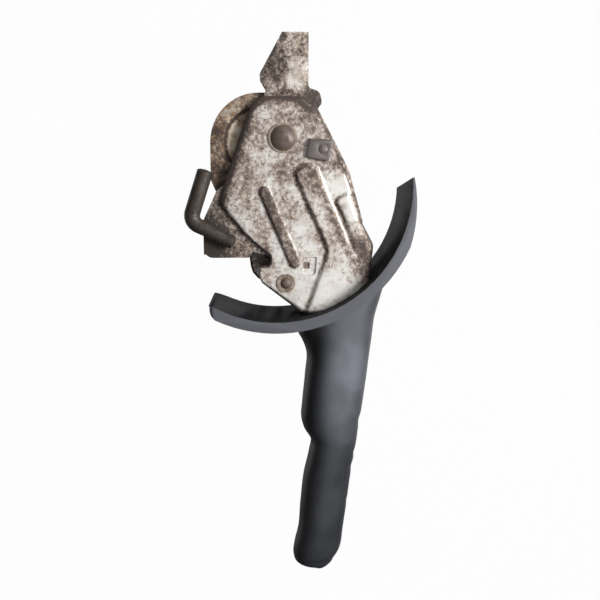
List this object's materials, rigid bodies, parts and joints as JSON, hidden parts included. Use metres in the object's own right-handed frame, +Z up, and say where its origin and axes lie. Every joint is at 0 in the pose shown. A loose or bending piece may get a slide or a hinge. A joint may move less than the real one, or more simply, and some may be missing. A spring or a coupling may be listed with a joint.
{
  "type": "handbrake lever",
  "caption": "Pressed-steel ratchet handbrake lever with a saddle bracket, cable quadrant, curved slot shield and moulded grip with a push-button release.",
  "frame": {"origin": "centre of the rear bolt hole in the bracket's rear web, on the middle plane of the lever", "axes": "+X from the pivot towards the grip, +Y across the lever away from the pictured side, +Z up in the vehicle"},
  "size_m": [0.3668, 0.058, 0.1465],
  "materials": {
    "plated_steel": "dull zinc plating with rust speckle",
    "rusty_steel": "bare steel, evenly rusted",
    "hardened_steel": "hardened, darkened",
    "bush_bronze": "plain bearing bronze",
    "grip_plastic": "satin moulded plastic",
    "guide_plastic": "plain black"
  },
  "bodies": {
    "bracket": {"mounting_bracket": "plated_steel", "ratchet_sector": "hardened_steel", "sector_rivets": "hardened_steel", "sector_spacers": "plated_steel", "pivot_bushes": "bush_bronze", "cable_hook": "rusty_steel"},
    "lever": {"near_cheek": "plated_steel", "far_cheek": "plated_steel", "pivot_pin": "rusty_steel", "pivot_washers": "rusty_steel", "cable_quadrant": "rusty_steel", "pawl_pin": "rusty_steel", "pawl_washers": "rusty_steel", "pawl_spacers": "plated_steel", "pawl_spring": "hardened_steel", "striker_plate": "rusty_steel", "striker_rivet": "rusty_steel", "grip_tube": "plated_steel", "tube_rivets": "plated_steel", "front_rod_guide": "guide_plastic", "rear_rod_guide": "guide_plastic", "button_ferrule": "guide_plastic", "grip_sleeve": "grip_plastic", "slot_shield": "grip_plastic", "button_spring": "hardened_steel"},
    "pawl": {"pawl": "hardened_steel"},
    "button": {"release_rod": "hardened_steel", "release_button": "guide_plastic"}
  },
  "joints": [
    {"name": "lever_swing", "type": "hinge", "parent": "bracket", "child": "lever", "pos_m": [0.06305, 0, -0.0081], "axis": [0, -1, 0], "range_deg": [0, 45]},
    {"name": "button_slide", "type": "slide", "parent": "lever", "child": "button", "axis": [-0.9976, 0, 0.0698], "range_m": [0, 0.006], "stiffness_N_per_m": 1200, "springref_m": -0.004},
    {"name": "pawl_swing", "type": "hinge", "parent": "lever", "child": "pawl", "pos_m": [0.15554, 0, -0.00649], "axis": [0, -1, 0], "range_deg": [0, 10]}
  ],
  "couplings": [
    {"joint": "pawl_swing", "follows": "button_slide", "rad_per_m": 28}
  ]
}
